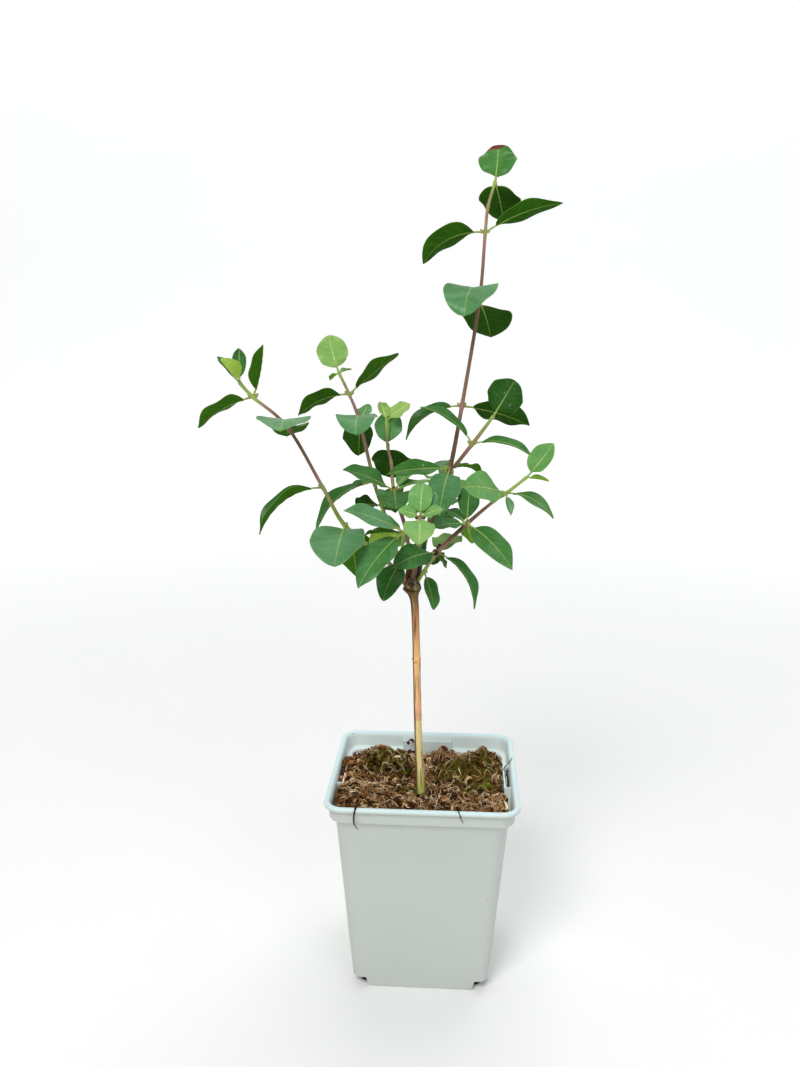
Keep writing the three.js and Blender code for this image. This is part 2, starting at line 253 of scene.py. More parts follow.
def corner_block(sx, sy, margin):
    """What is left out of the base at one corner, with its lower edges rounded."""
    rings = []
    for z, start in ((-2, 23), (0, 24.2), (0.6, 24.7), (1.6, 25.1), (NOTCH_HEIGHT + margin, NOTCH_FROM + 1)):
        near = start - margin
        ring = [(near, near), (50, near), (50, 50), (near, 50)]
        ring = [(x * sx, y * sy, z) for x, y in ring]
        rings.append(ring if sx * sy > 0 else ring[::-1])
    return loft(rings)


def cut(piece, shape, operation="DIFFERENCE"):
    """Cuts a closed shape from the piece, or joins it on."""
    tool = make_piece("tool", *shape)
    modifier = piece.modifiers.new("cut", "BOOLEAN")
    modifier.object = tool
    modifier.operation = operation
    modifier.solver = "EXACT"
    graph = bpy.context.evaluated_depsgraph_get()
    done = bpy.data.meshes.new_from_object(piece.evaluated_get(graph))
    piece.modifiers.clear()
    old = piece.data
    piece.data = done
    bpy.data.meshes.remove(old)
    bpy.data.objects.remove(tool)


pot_plastic = Finish("pot_plastic", {"Specular IOR Level": 0.45})
speck = pot_plastic.noise(620, 1).fade(0.77, 0.81)
speck_patch = pot_plastic.noise(45, 2).fade(0.5, 0.62)
cloud = pot_plastic.noise(16, 2)
scuffs = pot_plastic.noise(120, 5, pot_plastic.stretched(1, 1, 0.3))
inner = pot_plastic.attribute("inner")
height = pot_plastic.node("ShaderNodeSeparateXYZ", values={0: pot_plastic.place()}, out="Z")
# Painted highlight: a pale cyan-white band painted along the top of the rolled lip.
lip = height.fade(0.0973, 0.0984)
# Painted shade: a dark line painted just under the rim band on the outside, broken up by the scuff noise.
under_band_shade = (1 - abs(height - 0.0899).fade(0.0002, 0.0012)) * (1 - inner) * scuffs.fade(0.3, 0.7)
outer_grey = pot_plastic.mix(cloud, colour(186, 193, 186), colour(194, 200, 194))
# Painted light: the inner faces are painted paler and bluer than the outside, standing in for light inside
# the hollow.
inner_lit_grey = pot_plastic.mix(cloud, colour(216, 230, 229), colour(228, 238, 236))
walls = pot_plastic.mix(inner, outer_grey, inner_lit_grey)
lip_highlighted = pot_plastic.mix(lip * 0.9, walls, colour(210, 233, 236))
under_band_shaded = pot_plastic.mix(under_band_shade * 0.5, lip_highlighted, colour(140, 150, 146))
pot_plastic.paint({
    "Base Color": pot_plastic.mix(speck * speck_patch * 0.8, under_band_shaded, colour(96, 84, 66)),
    "Roughness": 0.34 + scuffs * 0.16,
    "Normal": pot_plastic.bump(pot_plastic.noise(900, 3), 0.05, 0.0002),
})

pot = make_piece("pot_shell", *loft([rounded_square(*row) for row in POT_OUTSIDE]), pot_plastic.material)
room = make_piece("room", *loft([rounded_square(*row) for row in POT_INSIDE]))
for sx, sy in CORNERS:
    cut(room, corner_block(sx, sy, WALL))
    cut(pot, corner_block(sx, sy, 0))
room_points = [tuple(v.co / MM) for v in room.data.vertices]
room_faces = [tuple(f.vertices) for f in room.data.polygons]
bpy.data.objects.remove(room)
cut(pot, (room_points, room_faces))
half_pocket = POCKET_LENGTH / 2
for side in range(4):
    turn = Matrix.Rotation(math.radians(90 * side), 3, "Z")
    for low, high in (
        ((-half_pocket, 38.7, 90), (half_pocket, 39.3, 96)),
        ((-half_pocket, 38.7, 90), (-half_pocket + 0.6, 42.2, 96)),
        ((half_pocket - 0.6, 38.7, 90), (half_pocket, 42.2, 96)),
    ):
        points, faces = box_between(low, high)
        cut(pot, ([turn @ Vector(p) for p in points], faces), "UNION")
for sx, sy in CORNERS:
    drain = []
    for z in (3, 9):
        angles = [i * math.pi / 12 for i in range(24)]
        x, y = DRAIN_PLACE * sx, DRAIN_PLACE * sy
        drain.append([(x + DRAIN_RADIUS * math.cos(a), y + DRAIN_RADIUS * math.sin(a), z) for a in angles])
    cut(pot, loft(drain))


def inside_pot(point):
    """1 on the inner faces of the shell, which are painted a paler, bluer grey as painted light against the
    shade inside the pot, and 0 outside.
    """
    x, y, z = point / MM
    for below, above in zip(POT_OUTSIDE, POT_OUTSIDE[1:]):
        if below[0] <= z <= above[0]:
            share = (z - below[0]) / (above[0] - below[0])
            _, half, radius = (a + (b - a) * share for a, b in zip(below, above))
            straight = half - radius
            reach = straight + math.hypot(max(0, abs(x) - straight), max(0, abs(y) - straight))
            if abs(x) < straight or abs(y) < straight:
                reach = max(abs(x), abs(y))
            return float(reach < half - 0.6)
    return 0.0


inner_faces = pot.data.attributes.new("inner", "FLOAT", "POINT")
inner_faces.data.foreach_set("value", [inside_pot(v.co) for v in pot.data.vertices])
pot.data.polygons.foreach_set("use_smooth", [True] * len(pot.data.polygons))
pot.data.set_sharp_from_angle(angle=math.radians(32))
stand_for(pot, "pot")

# Compost
# The root ball: coir fibre and composted bark, pressed round the roots, with two mossy mounds. It has
# dried and shrunk from the wall at the back and the right, and is level with the lip at the front.
LEVEL = 91
BACKWARD_FALL = 0.12
RIGHTWARD_FALL = 0.02
FOOT_HALF = 31
WIDENS = 7.6
SHOULDER = 90
LEDGE_SPREAD = 2.5
# Lumps of the top, as (x, y, reach, rise) in millimetres
LUMPS = [
    (-24, 24, 10, 9),
    (-9, 26, 8, 5),
    (24, 18, 15, 7),
    (30, 30, 8, 5),
    (8, 31, 7, 6),
    (-34, 6, 8, 4),
    (-30, -22, 12, 3),
    (12, -16, 10, 3),
    (32, -28, 9, 4),
    (4, 6, 9, -4),
    (-8, 2, 8, -3),
    (-1, -14, 6, -3),
]
# Moss patches, as (x, y, reach along X, reach along Y)
MOSS = [(-19, 15, 14, 11), (25, 12, 13, 16), (24, -7, 13, 14), (11, 13, 9, 9), (-7, -13, 5, 5)]


def compost_top(x, y):
    z = LEVEL - BACKWARD_FALL * y - RIGHTWARD_FALL * x
    for cx, cy, reach, rise in LUMPS:
        z += rise * math.exp(-((x - cx) ** 2 + (y - cy) ** 2) / reach**2)
    z += 0.7 * math.sin(0.9 * x + 1.3 * math.sin(0.5 * y))
    z += 0.7 * math.sin(1.1 * y + 1.7 * math.sin(0.6 * x))
    return min(z, POT_TOP - 1.5)


def crumb(x, y):
    """The rise of clods and crumbs over the smooth top."""
    z = 0
    for size, rise in ((8, 1.6), (3.4, 1.2), (1.6, 0.6)):
        near = noise.voronoi(Vector((x / size, y / size, size)))[0][0]
        z += rise * (0.55 - near)
    return z + 0.35 * noise.noise(Vector((x * 2.1, y * 2.1, 4)))


def mossy(x, y):
    """How mossy a spot is, from 0 to 1."""
    most = 0
    for cx, cy, rx, ry in MOSS:
        far = math.hypot((x - cx) / rx, (y - cy) / ry)
        far += 0.45 * noise.noise(Vector((x * 0.22, y * 0.22, 9)))
        most = max(most, min(1, max(0, (1.1 - far) * 3)))
    return most


def compost_edge(angle, z, spread=0):
    """The block's edge at a height, drawn in near the top where it has shrunk from the wall."""
    c, s = math.cos(angle), math.sin(angle)
    z = min(z, SHOULDER)
    half = FOOT_HALF + WIDENS * z / SHOULDER + spread
    squircle = half / (abs(c) ** 8 + abs(s) ** 8) ** (1 / 8)
    reach = squircle - max(0, (z - 70) / 20) * (1.2 + 1.2 * math.sin(angle + 0.6))
    return reach * c, reach * s


AROUND = 300
SHARES = [1, 0.985] + [0.97 - 0.97 * i / 84 for i in range(84)]
# The brim, as (angle, height of the top there, how far it lies over the pot's inner ledge from 0 to 1)
brim = []
for i in range(AROUND):
    angle = 2 * math.pi * i / AROUND
    top = compost_top(*compost_edge(angle, SHOULDER))
    near_pocket = min(abs(math.sin(angle * 2)) * 3.2, 1)
    over = min(1, max(0, (top - 92.6) / 0.8)) * (1 if near_pocket > 0.9 else 0)
    brim.append((angle, top, over))
rings = [[(*compost_edge(a, z), z) for a, _, _ in brim] for z in (1.5, 40, 80)]
rings.append([(*compost_edge(a, SHOULDER), min(90.2, top - 2.4)) for a, top, _ in brim])
shelf = []
for a, top, over in brim:
    low = min(90.2, top - 2.4) + 0.4
    shelf.append((*compost_edge(a, SHOULDER, LEDGE_SPREAD * over), low + (91.8 - low) * over))
rings.append(shelf)
for share in SHARES:
    ring = []
    for a, _, over in brim:
        x, y = (c * share for c in compost_edge(a, SHOULDER, LEDGE_SPREAD * over))
        drop = 1 if share == 1 else 0
        ring.append((x, y, min(compost_top(x, y) + crumb(x, y) - drop, POT_TOP + 0.6)))
    rings.append(ring)

coir = Finish("coir_compost", {"Roughness": 0.95, "Specular IOR Level": 0.05})
patch = coir.noise(260, 6)
moss_here = coir.attribute("moss")
rise = coir.attribute("rise")
# Painted shade and light: the brown follows the crumbs' height, near black in the hollows between them and
# pale on their tops.
brown = coir.ramp(
    rise * 0.6 + patch * 0.5,
    (0.3, colour(12, 6, 2)),
    (0.45, colour(52, 30, 14)),
    (0.6, colour(118, 80, 46)),
    (0.78, colour(190, 150, 104)),
)
green = coir.ramp(coir.noise(420, 4), (0.35, colour(44, 40, 6)), (0.65, colour(100, 94, 26)))
coir.paint({
    "Base Color": coir.mix((moss_here + patch * 0.4 - 0.2).fade(0.1, 0.5), brown, green),
    "Normal": coir.bump(coir.noise(700, 6) + patch, 0.9, 0.0012),
})
compost = make_piece("compost_block", *loft(rings), coir.material)
# The rise attribute is the crumbs' height, which the finish reads for painted shade in the hollows.
for label, measure in (("moss", mossy), ("rise", lambda x, y: crumb(x, y) * 0.5 + 0.4)):
    amounts = compost.data.attributes.new(label, "FLOAT", "POINT")
    amounts.data.foreach_set("value", [measure(v.co.x / MM, v.co.y / MM) for v in compost.data.vertices])
stand_for(compost, "compost")

# Coir fibres
# Loose fibres, shavings and flakes of coconut husk that lie curled all over the top of the compost, each
# with a tone of its own at random from dark brown to pale straw; the palest tones are partly painted
# highlight, standing in for fibres that catch the light.
FINE_FIBRES = 1500
SHAVINGS = 700
FLAKES = 260
dice = random.Random(7)


def tube(points, radii, sides, squash=1.0, spin=0.0):
    """Rings of a tube through points, with the section flattened by squash."""
    rings = []
    last = len(points) - 1
    for j, point in enumerate(points):
        here = Vector(point)
        along = (Vector(points[min(j + 1, last)]) - Vector(points[max(j - 1, 0)])).normalized()
        aid = Vector((0.13, 0.21, 1)) if abs(along.z) < 0.9 else Vector((0, 1, 0))
        across = along.cross(aid).normalized()
        other = along.cross(across)
        across, other = (
            across * math.cos(spin) + other * math.sin(spin),
            other * math.cos(spin) - across * math.sin(spin),
        )
        radius = radii[j]
        ring = []
        for i in range(sides):
            a = 2 * math.pi * i / sides
            ring.append(here + across * radius * math.cos(a) + other * radius * squash * math.sin(a))
        rings.append(ring)
    return rings


class Heap:
    """Many small bodies gathered into one mesh, each with a tone of its own."""

    def __init__(self):
        self.points = []
        self.faces = []
        self.tones = []

    def add(self, shape, tone):
        points, faces = shape
        start = len(self.points)
        self.points += [tuple(p) for p in points]
        self.faces += [tuple(i + start for i in face) for face in faces]
        self.tones += [tone] * len(points)

    def piece(self, name, material):
        made = make_piece(name, self.points, self.faces, material)
        tone = made.data.attributes.new("tone", "FLOAT", "POINT")
        tone.data.foreach_set("value", self.tones)
        stand_for(made, None)


def on_compost(x, y):
    return compost_top(x, y) + crumb(x, y)


def free_spot():
    """A random spot of the top, clear of the edge and of the trunk's foot."""
    while True:
        x, y = dice.uniform(-38, 38), dice.uniform(-39, 36)
        if math.hypot(x + 1, y + 14) > 3.6:
            return x, y


def curled(reach, steps, most_curl, hop, wide, squash, tone):
    """One fibre or shaving lying curled on the compost, more seldom on the moss."""
    x, y = free_spot()
    if mossy(x, y) > 0.4 and dice.random() < 0.6:
        return
    heading = dice.uniform(0, 2 * math.pi)
    curl = dice.uniform(-most_curl, most_curl)
    line = []
    for j in range(steps):
        arch = math.sin(math.pi * j / (steps - 1))
        px = max(-39.5, min(39.5, x))
        py = max(-40, min(36.5, y))
        line.append((px, py, min(on_compost(px, py) + 0.15 + hop * arch, POT_TOP + 0.8)))
        x += reach / steps * math.cos(heading)
        y += reach / steps * math.sin(heading)
        heading += curl
    widths = [wide * (0.45 + 0.55 * math.sin(math.pi * (j + 0.6) / steps)) for j in range(steps)]
    region = 0.35 * noise.noise(Vector((px * 0.13, py * 0.13, 6)))
    fibres.add(loft(tube(line, widths, 4, squash, dice.uniform(0, 3))), min(1, max(0, tone + region)))


fibres = Heap()
for _ in range(FINE_FIBRES):
    wide = dice.uniform(0.07, 0.13)
    curled(dice.uniform(5, 15), 9, 0.55, dice.uniform(0.3, 1.9), wide, 0.8, dice.uniform(0.25, 1.1))
for _ in range(SHAVINGS):
    wide = dice.uniform(0.18, 0.4)
    curled(dice.uniform(4, 11), 8, 0.8, dice.uniform(0.2, 1.6), wide, 0.35, dice.random() ** 1.5)
for _ in range(FLAKES):
    wide = dice.uniform(0.45, 1.1)
    tone = 0.6 + 0.4 * dice.random() if dice.random() < 0.2 else dice.uniform(0.05, 0.55)
    curled(dice.uniform(3, 8), 9, 0.6, dice.uniform(0.3, 1.6), wide, 0.16, tone)
husk = Finish("coir_husk", {"Roughness": 0.85, "Specular IOR Level": 0.08})
husk_tone = husk.attribute("tone") + husk.noise(900, 3) * 0.3 - 0.15
# The top of the tone ramp is partly painted highlight, near white as a fibre catching the light.
husk.paint({
    "Base Color": husk.ramp(
        husk_tone,
        (0.0, colour(22, 10, 3)),
        (0.3, colour(80, 48, 24)),
        (0.58, colour(158, 112, 68)),
        (0.85, colour(226, 192, 142)),
        (1.0, colour(255, 240, 204)),
    ),
    "Normal": husk.bump(husk.noise(1500, 3), 0.3, 0.0002),
})
fibres.piece("coir_fibres", husk.material)

# Crumbs and bark chips
# Rough crumbs of husk and composted bark, loose on the top and heaped up against the left wall, where
# they hide its label pocket, with four flat chips of bark among them.
CRUMBS = 520
HEAPED_CRUMBS = 120
clods = Heap()


def lump(x, y, z, size, flat, rough, detail=2):
    """A rough crumb: a ball with its points pushed in and out."""
    ball = bmesh.new()
    bmesh.ops.create_icosphere(ball, subdivisions=detail, radius=1)
    turn = Matrix.Rotation(dice.uniform(0, 6.3), 3, Vector((dice.random(), dice.random(), 1)))
    shift = Vector((dice.uniform(0, 90), 0, 0))
    points = []
    for v in ball.verts:
        bulge = 1 + rough * noise.noise(v.co * 1.7 + shift)
        p = turn @ (Vector((v.co.x, v.co.y * 0.75, v.co.z * flat)) * size * bulge)
        points.append((p.x + x, p.y + y, p.z + z))
    faces = [tuple(v.index for v in f.verts) for f in ball.faces]
    ball.free()
    return points, faces


for _ in range(CRUMBS):
    x, y = free_spot()
    size = dice.uniform(0.6, 1.7)
    z = min(on_compost(x, y) + size * 0.15, POT_TOP - 0.4)
    clods.add(lump(x, y, z, size, 0.6, 0.9), dice.random() * 0.55 * (1 - 0.6 * mossy(x, y)))
# A heap of crumbs against the left wall, over its label pocket
for _ in range(HEAPED_CRUMBS):
    x, y = dice.uniform(-41, -35.5), dice.gauss(4, 8)
    size = dice.uniform(0.6, 1.5)
    top = 96.2 + 2.2 * math.exp(-(((y - 9) / 4.5) ** 2)) - 0.25 * abs(x + 38)
    if -14 < y < 19:
        clods.add(lump(x, y, top - dice.uniform(0, 1.8), size, 0.7, 0.9), dice.uniform(0.1, 0.7))
# Bark chips in view, as (x, y, size, tone)
BARK_CHIPS = [(-22, 24, 2.9, 0.55), (-17, -9, 1.8, 0.8), (-14, 30, 2.2, 0.2), (-28, -32, 1.6, 0.85)]
for x, y, size, tone in BARK_CHIPS:
    clods.add(lump(x, y, on_compost(x, y) + 0.7, size, 0.25, 0.7), tone)
clods.piece("coir_crumbs", husk.material)

# Grit
# A few grains of pale mineral grit from the potting mix, left lying on the top.
GRIT_GRAINS = 46
grit = Heap()
for _ in range(GRIT_GRAINS):
    x, y = free_spot()
    size = dice.uniform(0.22, 0.5)
    grit.add(lump(x, y, on_compost(x, y) + size, size, 0.8, 0.5, 1), dice.random())
pale_grit = Finish("pale_grit", {"Roughness": 0.6})
whites = (0.3, colour(214, 208, 196)), (0.7, colour(246, 243, 236))
pale_grit.paint({"Base Color": pale_grit.ramp(pale_grit.noise(800), *whites)})
grit.piece("grit", pale_grit.material)

# Moss
# Short, soft stems of living moss on the two mounds, from dull olive to fresh green, with the duller tones
# partly painted shade, and freshest green in one spot on the right. Each is a slim upright point that
# leans its own way.
MOSS_STEMS = 26000
moss = Heap()
for _ in range(MOSS_STEMS):
    cx, cy, rx, ry = dice.choice(MOSS)
    x = cx + dice.gauss(0, 0.6) * rx
    y = cy + dice.gauss(0, 0.6) * ry
    if mossy(x, y) < dice.uniform(0.1, 0.8) or abs(x) > 37.5 or y > 35.5:
        continue
    tall = dice.uniform(0.5, 1.7)
    lean = (dice.uniform(-0.7, 0.7), dice.uniform(-0.7, 0.7))
    z = on_compost(x, y) - 0.1
    wide = dice.uniform(0.1, 0.22)
    turn = dice.uniform(0, 6)
    base = [(x + wide * math.cos(turn + k * 2.1), y + wide * math.sin(turn + k * 2.1), z) for k in range(3)]
    tip = (x + lean[0] * tall, y + lean[1] * tall, z + tall)
    bright = math.exp(-(((x - 30) / 3.5) ** 2) - ((y + 6) / 4) ** 2)
    clump = 0.5 + noise.noise(Vector((x * 0.7, y * 0.7, 2)))
    # Partly painted shade: low tones make stems dull olive as if in shade; the tone also varies at random
    # and by clump.
    shade = min(1, max(0, 0.32 * dice.random() + 0.36 * clump + 0.6 * bright))
    moss.add((base + [tip], [(0, 1, 3), (1, 2, 3), (2, 0, 3)]), shade)
moss_green = Finish("moss_green", {"Roughness": 0.8, "Specular IOR Level": 0.06})
moss_green.paint({
    "Base Color": moss_green.ramp(
        moss_green.attribute("tone"),
        (0.0, colour(42, 38, 4)),
        (0.35, colour(86, 80, 18)),
        (0.62, colour(134, 118, 46)),
        (0.75, colour(112, 122, 36)),
        (1.0, colour(84, 156, 40)),
    )
})
moss.piece("moss", moss_green.material)

# Root strands and a dead leaf
# Thin brown roots have grown over the front lip, loose fibre is caught in the right label pocket, and a
# small dead leaf lies curled behind the trunk.
STRANDS = [
    [(-27.5, -38, 97.5), (-28.6, -41, 99.2), (-29.4, -43.6, 99.9), (-29.9, -45.6, 98.8), (-30.3, -45.7, 96),
     (-30.5, -44.4, 93), (-30.4, -43.6, 91), (-29.6, -43.2, 89.2), (-28.6, -43, 88.2)],
    [(15.6, -39, 97.8), (16.3, -42, 99.7), (16.7, -44.6, 99.8), (17.4, -45.8, 98), (18.2, -45.3, 95.6),
     (18.9, -44.4, 93.8)],
    [(37.6, 6, 93), (39.4, 7.5, 97.6), (41.6, 9, 98.6), (42.8, 12, 99.2), (43.6, 13.6, 99.7)],
    [(38, -1, 92), (40.2, 0.5, 97.2), (41.3, 2.5, 97.9), (41, 5.5, 97.6), (40.4, 8, 96.6)],
    [(40.6, -9, 94), (40.9, -4, 96.2), (40.4, 1, 96.9), (40.8, 6, 96.4), (40.3, 10, 94.6)],
    [(-36, 6, 95), (-38.5, 7.5, 98.2), (-40, 9, 97.2), (-39, 12, 96.1)],
]
STRAND_WIDTHS = [0.5, 0.4, 0.28, 0.3, 0.55, 0.35]
strands = Heap()
for line, wide in zip(STRANDS, STRAND_WIDTHS):
    fine = []
    for j in range(len(line) - 1):
        for k in range(3):
            fine.append(Vector(line[j]).lerp(Vector(line[j + 1]), k / 3))
    fine.append(Vector(line[-1]))
    for _ in range(3):
        fine = [fine[0]] + [(a + b * 2 + c) / 4 for a, b, c in zip(fine, fine[1:], fine[2:])] + [fine[-1]]
    widths = [wide * (1 - 0.5 * j / len(fine)) for j in range(len(fine))]
    strands.add(loft(tube(fine, widths, 6, 0.7)), 0.12)
# The dead leaf is a band rolled into most of a ring, with its lower face 0.25 under its upper one
dead = []
for j in range(9):
    a = j / 8 * 4.2
    x, z = -8.5 + 1.5 * math.cos(a), 97.3 + 1.3 * math.sin(a)
    band = [(-1, 0), (-0.4, 0), (0.4, 0), (1, 0), (0.4, 0.25), (-0.4, 0.25)]
    dead.append([(x + w * 0.5, 33.5 + w * 1.3, z + 0.5 * abs(w) - under) for w, under in band])
strands.add(loft(dead), 0.3)
strands.piece("root_strands", husk.material)

# Trunk
# The woody main stem: straw-coloured peeling bark, green at the foot and browner towards a knobbly
# crown, where stems have been cut back to stubs and the leafy shoots start.
KNOB_HEIGHT = 196
COLLAR_HEIGHT = 193.4
# The trunk's line, as (x, y, z, radius)
TRUNK = [
    (0, -14, 48, 1.2),
    (-0.4, -14, 70, 1.8),
    (-1, -14, 87, 2.4),
    (-1.6, -14, 99, 2.1),
    (-2.2, -14, 110, 1.9),
    (-3.4, -14, 140, 1.8),
    (-3.8, -14, 158, 1.8),
    (-3.9, -14, 160, 2.1),
    (-4, -13.9, 163, 1.8),
    (-4.9, -13.2, 184, 1.8),
    (-5.7, -12.6, 190, 2.3),
    (-6.4, -12.1, 192.6, 3.8),
    (-6.7, -12, 195.6, 4.3),
    (-7.1, -12, 198.4, 3.6),
    (-7.4, -12, 200.4, 2),
    (-7.6, -11.6, 208, 1.6),
    (-7.4, -11.2, 211, 1.3),
]


def smooth_line(rows, steps):
    """Points between the rows on a smooth curve, as vectors of the same length as a row."""
    fine = []
    for j in range(len(rows) - 1):
        ends = [rows[max(j - 1, 0)], rows[j], rows[j + 1], rows[min(j + 2, len(rows) - 1)]]
        for k in range(steps):
            t = k / steps
            row = []
            for a, b, c, d in zip(*ends):
                value = b + 0.5 * t * (c - a + t * (2 * a - 5 * b + 4 * c - d + t * (3 * (b - c) + d - a)))
                row.append(value)
            fine.append(tuple(row))
    fine.append(tuple(rows[-1]))
    return fine


rings = []
for x, y, z, radius in smooth_line(TRUNK, 12):
    ring = []
    for i in range(28):
        a = 2 * math.pi * i / 28
        knob = math.exp(-(((z - KNOB_HEIGHT) / 4) ** 2))
        ripple = 0.07 * noise.noise(Vector((math.cos(a) * 2.2, math.sin(a) * 2.2, z * 0.06)))
        knot = knob * (0.34 * noise.noise(Vector((math.cos(a) * 2.4, math.sin(a) * 2.4, z * 0.6))) - 0.1)
        collar = 0.13 * math.exp(-(((z - COLLAR_HEIGHT - 0.5 * math.sin(a)) / 0.5) ** 2))
        reach = radius * (1 + ripple + knot + collar)
        ring.append((x + reach * math.cos(a), y + reach * math.sin(a), z))
    rings.append(ring)
bark = Finish("peeling_bark", {"Specular IOR Level": 0.3})
high = bark.node("ShaderNodeSeparateXYZ", values={0: bark.place()}, out="Z")
streak = bark.noise(850, 5, bark.stretched(1, 1, 0.05))
fleck = bark.noise(300, 3, bark.stretched(1, 1, 0.3))
straw = bark.ramp(
    high / 0.2,
    (0.44, colour(126, 146, 58)),
    (0.485, colour(196, 196, 104)),
    (0.53, colour(234, 216, 150)),
    (0.645, colour(236, 212, 146)),
    (0.662, colour(216, 154, 120)),
    (0.7, colour(238, 184, 132)),
    (0.8, colour(240, 188, 126)),
    (0.9, colour(192, 138, 92)),
    (0.95, colour(140, 104, 64)),
    (0.965, colour(86, 96, 38)),
    (0.985, colour(92, 74, 44)),
)
aside = bark.node("ShaderNodeSeparateXYZ", values={0: bark.place()}, out="X")
# How far to the left of the leaning stem's middle, in metres
left = 0.0021 - aside - high * 0.0373
peeled = bark.mix(fleck.fade(0.58, 0.68) * 0.55, straw, colour(240, 224, 184))
weathered = bark.noise(260, 4, bark.stretched(1, 1, 0.12)).fade(0.5, 0.62) * (high - 0.1) * 9
darkened = bark.mix(weathered, peeled, colour(122, 80, 52))
lined = bark.mix(streak.fade(0.53, 0.58) * (0.3 + high * 2.8), darkened, colour(100, 62, 34))
edged = bark.mix((left + fleck * 0.0012).fade(0.0016, 0.0021) * 0.85, lined, colour(92, 66, 34))
# Scars that ring the stem where leaves have been, as (height, depth)
scars = 0
for scar, depth in ((0.1307, 0.25), (0.1422, 0.5), (0.1516, 0.2), (0.1588, 0.8)):
    near = abs(high + fleck * 0.0016 - scar - 0.0008)
    scars = (1 - near.fade(0.0001, 0.0005)) * fleck.fade(0.35, 0.6) * depth + scars
bark.paint({
    "Base Color": bark.mix(scars, edged, colour(96, 64, 40)),
    "Roughness": 0.62 + streak * 0.25,
    "Normal": bark.bump(streak * -1 + fleck * 0.5 - scars, 0.6, 0.0006),
})
trunk = make_piece("trunk_stem", *loft(rings), bark.material)
stand_for(trunk, "trunk")

# Leafy shoots
# Wiry green to purple-brown stems that twine upwards, jointed where pairs of smooth-edged leaves grow
# on short stalks. Leaves are green above with a pale midrib and pale when new; some tops carry a painted
# bluish sheen, a painted sky reflection, leaves in shade are painted dark as painted shade, and the
# undersides are painted a saturated bright green, standing in for light shining through the leaf.

# Joints are (x, y, z, radius, tint), with a tint of 0 green, 0.5 purple-pink and 1 brown. Leaves are
# (joint, heading, rise, length, width, arch, roll, cup, youth_and_shade) in degrees and millimetres,
# where a heading of -90 faces the front. youth_and_shade runs from -1, a leaf painted dark as painted
# shade, through 0, a grown leaf, to 1, pale: a new leaf, and some leaves painted bright as light
# shining through them.
SHOOTS = {}
SHOOTS["shoot_far_left"] = [
    (-10.5, -13.5, 198, 1, 0.7),
    (-19, -21, 210, 1, 0.3),
    (-35, -30, 226, 1, 0.15),
    (-44, -36, 244, 0.8, 0.4),
    (-58, -40, 270, 0.7, 0.95),
    (-72, -43, 283, 0.7, 0.1),
    (-77, -45, 289, 0.7, 0.3),
], [
    (2, -92, -18, 33, 24, 40, 0, 0.2, 0.22),
    (2, 78, -60, 31, 19, 40, 0, 0.2, -0.3),
    (3, -143, -29, 35, 9, 75, -10, 0.8, -0.2),
    (4, -86, 4, 29, 22, 60, 0, 0.1, 0.36),
    (4, 100, -14, 26, 18, 30, 0, 0.2, -0.5),
    (5, -162, -28, 26, 13, 35, -30, 0.3, -0.3),
    (5, 19, 78, 22, 9, -20, 40, 0.8, -0.4),
    (6, -112, 38, 16, 9, 0, 0, 0.9, 0.9),
    (6, 101, 68, 15, 7, 0, 0, 0.7, 0.15),
    (6, 140, 34, 18, 7, 0, 0, 0.5, -0.2),
]
SHOOTS["shoot_mid_left"] = [
    (-10, -9.6, 198, 0.9, 0.7),
    (-16, 0, 213, 0.9, 0.3),
    (-22, 9, 228, 0.9, 0.15),
    (-26, 12, 239, 0.9, 0.2),
    (-33, 14, 267, 0.8, 0.6),
    (-38, 15, 280, 0.7, 0.5),
    (-43, 16, 290, 0.7, 0.1),
], [
    (2, 160, 0, 14, 11, 20, -40, 0.2, -0.8),
    (2, -35, -12, 9, 9, 20, 0, 0.2, 0.1),
    (3, -151, -35, 36, 11, 70, 5, 0.4, 0.1),
    (3, 150, -26, 24, 9, 30, 20, 0.4, 0.1),
    (4, -89, -6, 26, 19, 90, 0, 0.1, 0.35),
    (4, 97, -46, 25, 15, 40, 0, 0.2, -0.7),
    (4, 76, 32, 14, 8, 0, 0, 0.2, 0.4),
    (5, -169, -22, 26, 12, 50, -40, 0.2, -0.5),
    (5, 5, 40, 30, 14, 10, 30, 0.2, -0.3),
    (6, 165, 74, 18, 15, -10, 75, 0.2, 0.85),
    (6, 129, -26, 9, 4, 20, 0, 0.4, 0.6),
    (6, 59, 7, 10, 4, 20, 0, 0.4, 0.6),
]
SHOOTS["shoot_centre"] = [
    (-6.6, -8.3, 198, 0.9, 1),
    (-10, 0, 218, 0.9, 0.7),
    (-16, 5, 236, 0.9, 0.3),
    (-18, 14, 248, 0.7, 0.55),
    (-20, 19, 255, 0.7, 0.4),
    (-21, 23, 267, 0.6, 0.1),
], [
    (2, -149, 24, 29, 11, 20, 40, 0.3, 0.15),
    (2, 62, 20, 29, 10, 30, 0, 0.2, 0.5),
    (2, 38, 6, 22, 11, 30, 0, 0.2, 0.7),
    (2, -84, -10, 24, 17, 30, 0, 0.2, 0.05),
    (2, 102, -20, 22, 12, 30, 0, 0.2, 0.1),
    (4, 85, -48, 24, 20, 20, 0, 0.1, -0.7),
    (4, 92, 44, 21, 14, 0, 0, 0.2, 0.4),
    (5, 109, 37, 13, 7, 0, 0, 0.6, 0.9),
    (5, 6, 35, 14, 9, 20, -40, 0.2, 1),
]
